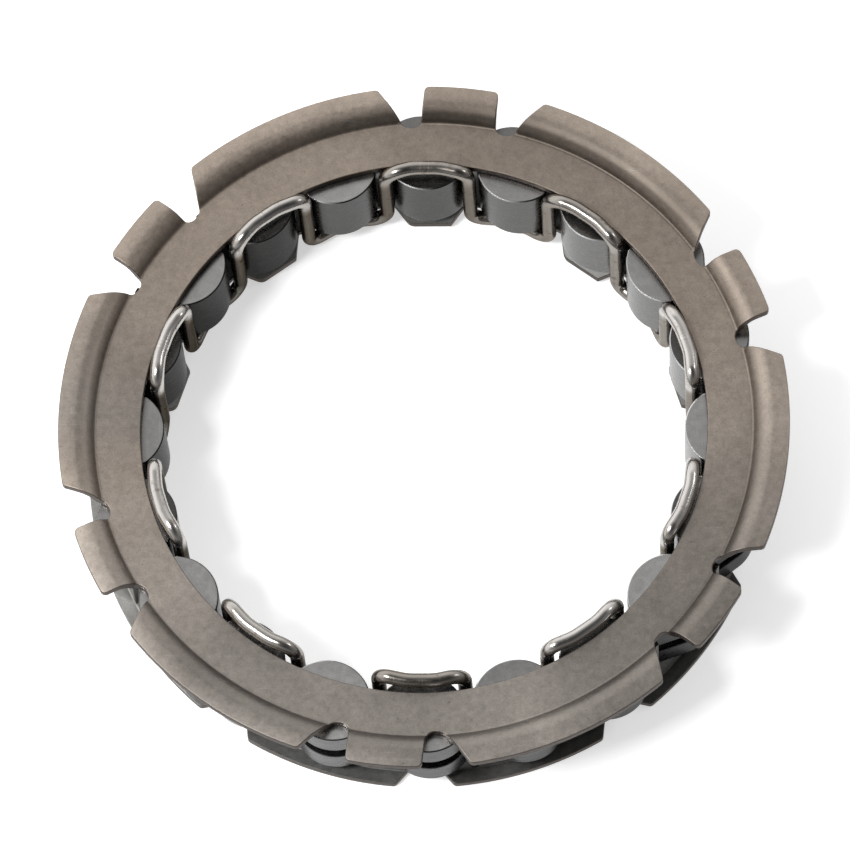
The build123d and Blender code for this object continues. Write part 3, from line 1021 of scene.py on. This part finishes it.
def tube(path, radius, sides, lead):
    """Closed tube along a closed path. lead gives a direction that is never along the path."""
    ahead = np.roll(path, -1, axis=0) - np.roll(path, 1, axis=0)
    ahead /= np.linalg.norm(ahead, axis=1)[:, None]
    u = lead - ahead * (lead * ahead).sum(1)[:, None]
    u /= np.linalg.norm(u, axis=1)[:, None]
    v = np.cross(ahead, u)
    n = len(path)
    angles = np.linspace(0, 2 * pi, sides, endpoint=False)
    out = np.cos(angles)[None, :, None] * u[:, None, :] + np.sin(angles)[None, :, None] * v[:, None, :]
    verts = (path[:, None, :] + radius * out).reshape(-1, 3)
    normals = out.reshape(-1, 3)
    step = np.linalg.norm(np.roll(path, -1, axis=0) - path, axis=1)
    along = np.concatenate([[0], np.cumsum(step)[:-1]])
    local = np.zeros((n, sides, 3))
    local[:, :, 0] = along[:, None]
    local[:, :, 1] = radius * np.cos(angles)[None, :]
    local[:, :, 2] = radius * np.sin(angles)[None, :]
    faces = []
    for i in range(n):
        j = (i + 1) % n
        for k in range(sides):
            m = (k + 1) % sides
            faces.append([i * sides + k, i * sides + m, j * sides + m, j * sides + k])
    return verts, faces, normals, local.reshape(-1, 3)


def wire():
    path = wire_path()
    lead = np.column_stack([path[:, :2], np.zeros(len(path))])
    lead /= np.linalg.norm(lead, axis=1)[:, None]
    verts, faces, normals, local = tube(path + [0, wire_shift, 0], wire_r, 24, lead)
    _, az = polar(verts)
    mid = np.abs(az / pitch - np.round(az / pitch)) * 2
    # Painted light and shade round the ring: dark legs, and loops lighter or darker by azimuth.
    legs, loops = (np.interp(az % 360, *table) for table in (leg_round, loop_round))
    high = np.interp(verts[:, 2], [3.6, 4.9], [0, 1])
    make_object("wire_retainer_skin", verts, faces, wire_steel, "cage", ["wire_retainer"],
                normals, {"local": local, "mid": mid, "tone": legs + (loops - legs) * high})


def garter_spring():
    per_turn = 12
    w = np.linspace(0, 1, spring_turns * per_turn, endpoint=False)
    az = 2 * pi * w
    phase = 2 * pi * spring_turns * w
    r = coil_centre_r + (coil_r - spring_wire_r) * np.cos(phase)
    path = np.stack([r * np.sin(az), r * np.cos(az), (coil_r - spring_wire_r) * np.sin(phase)], 1)
    lead = np.stack([np.cos(phase) * np.sin(az), np.cos(phase) * np.cos(az), np.sin(phase)], 1)
    verts, faces, normals, local = tube(path, spring_wire_r, 6, lead)
    make_object("garter_spring_skin", verts, faces, spring_steel, "cage", ["garter_spring"],
                normals, {"local": local, "mid": np.ones(len(verts)), "tone": np.full(len(verts), 0.8)})


def towards(azimuth, from_zenith):
    """Unit vector at an azimuth and an angle from straight up."""
    a, t = radians(azimuth), radians(from_zenith)
    return Vector((sin(t) * sin(a), sin(t) * cos(a), cos(t)))


def studio_floor():
    material, _, shader = new_material("studio_floor")
    shader.inputs["Base Color"].default_value = (*grey(0.72), 1)
    shader.inputs["Emission Color"].default_value = (1, 1, 1, 1)
    shader.inputs["Emission Strength"].default_value = 0.52
    shader.inputs["Roughness"].default_value = 0.9
    shader.inputs["Specular IOR Level"].default_value = 0.1
    mesh = bpy.data.meshes.new("studio_floor")
    z = (-lip_z - floor_gap) * MM
    mesh.from_pydata([(x * floor_half, y * floor_half, z) for x, y in ((-1, -1), (1, -1), (1, 1), (-1, 1))],
                     [], [(0, 1, 2, 3)])
    mesh.materials.append(material)
    floor = bpy.data.objects.new("studio_floor", mesh)
    bpy.context.scene.collection.objects.link(floor)


def light_tent(camera_side):
    """World light that is even enough for a bright floor, with the dark and bright sides steel needs."""
    world = bpy.data.worlds.new("studio")
    bpy.context.scene.world = world
    world.use_nodes = True
    tree = world.node_tree
    background = tree.nodes["Background"]
    direction = add(tree, "ShaderNodeTexCoord").outputs["Generated"]

    def facing(way):
        node = add(tree, "ShaderNodeVectorMath", operation="DOT_PRODUCT")
        tree.links.new(direction, node.inputs[0])
        node.inputs[1].default_value = way
        return math_node(tree, "MULTIPLY_ADD", node.outputs["Value"], 0.5, 0.5)

    back = (sin(radians(back_azimuth)), cos(radians(back_azimuth)), back_rise)
    light = times(tree, ramp(tree, facing(camera_side), *tent_stops), ramp(tree, facing(back), *back_stops))
    tree.links.new(light, background.inputs["Color"])
    background.inputs["Strength"].default_value = 1.0


def softbox(name, azimuth, from_zenith, size, power):
    light = bpy.data.lights.new(name, "AREA")
    light.shape = "SQUARE"
    light.size = size
    light.energy = power
    obj = bpy.data.objects.new(name, light)
    stand = towards(azimuth, from_zenith) * softbox_distance
    obj.location = stand
    obj.rotation_mode = "QUATERNION"
    obj.rotation_quaternion = (-stand).to_track_quat("-Z", "Y")
    bpy.context.scene.collection.objects.link(obj)


def studio():
    studio_floor()
    away = towards(camera_azimuth, camera_tilt)
    image_up = Vector((sin(radians(image_turn)), cos(radians(image_turn)), 0))
    up = (image_up - away * image_up.dot(away)).normalized()
    right = up.cross(away)
    light_tent(away)
    softbox("key", 240, 33, 0.15, 3.2)
    softbox("fill", 70, 52, 0.13, 0.3)

    target = Vector((0, 0, flat_z)) + right * aim_right - up * aim_down
    camera = bpy.data.cameras.new("camera")
    camera.sensor_width = sensor_width
    camera.lens = sensor_width * camera_distance * pixels_per_mm / image_width
    camera.clip_start = 0.01
    camera.clip_end = 20
    obj = bpy.data.objects.new("camera", camera)
    obj.matrix_world = Matrix((
        (right.x, up.x, away.x, 0),
        (right.y, up.y, away.y, 0),
        (right.z, up.z, away.z, 0),
        (0, 0, 0, 1),
    ))
    obj.location = (target + away * camera_distance) * MM
    bpy.context.scene.collection.objects.link(obj)
    bpy.context.scene.camera = obj
    bpy.context.scene.view_settings.view_transform = "Standard"


upper_plate()
lower_plate()
sprags()
wire()
garter_spring()
studio()
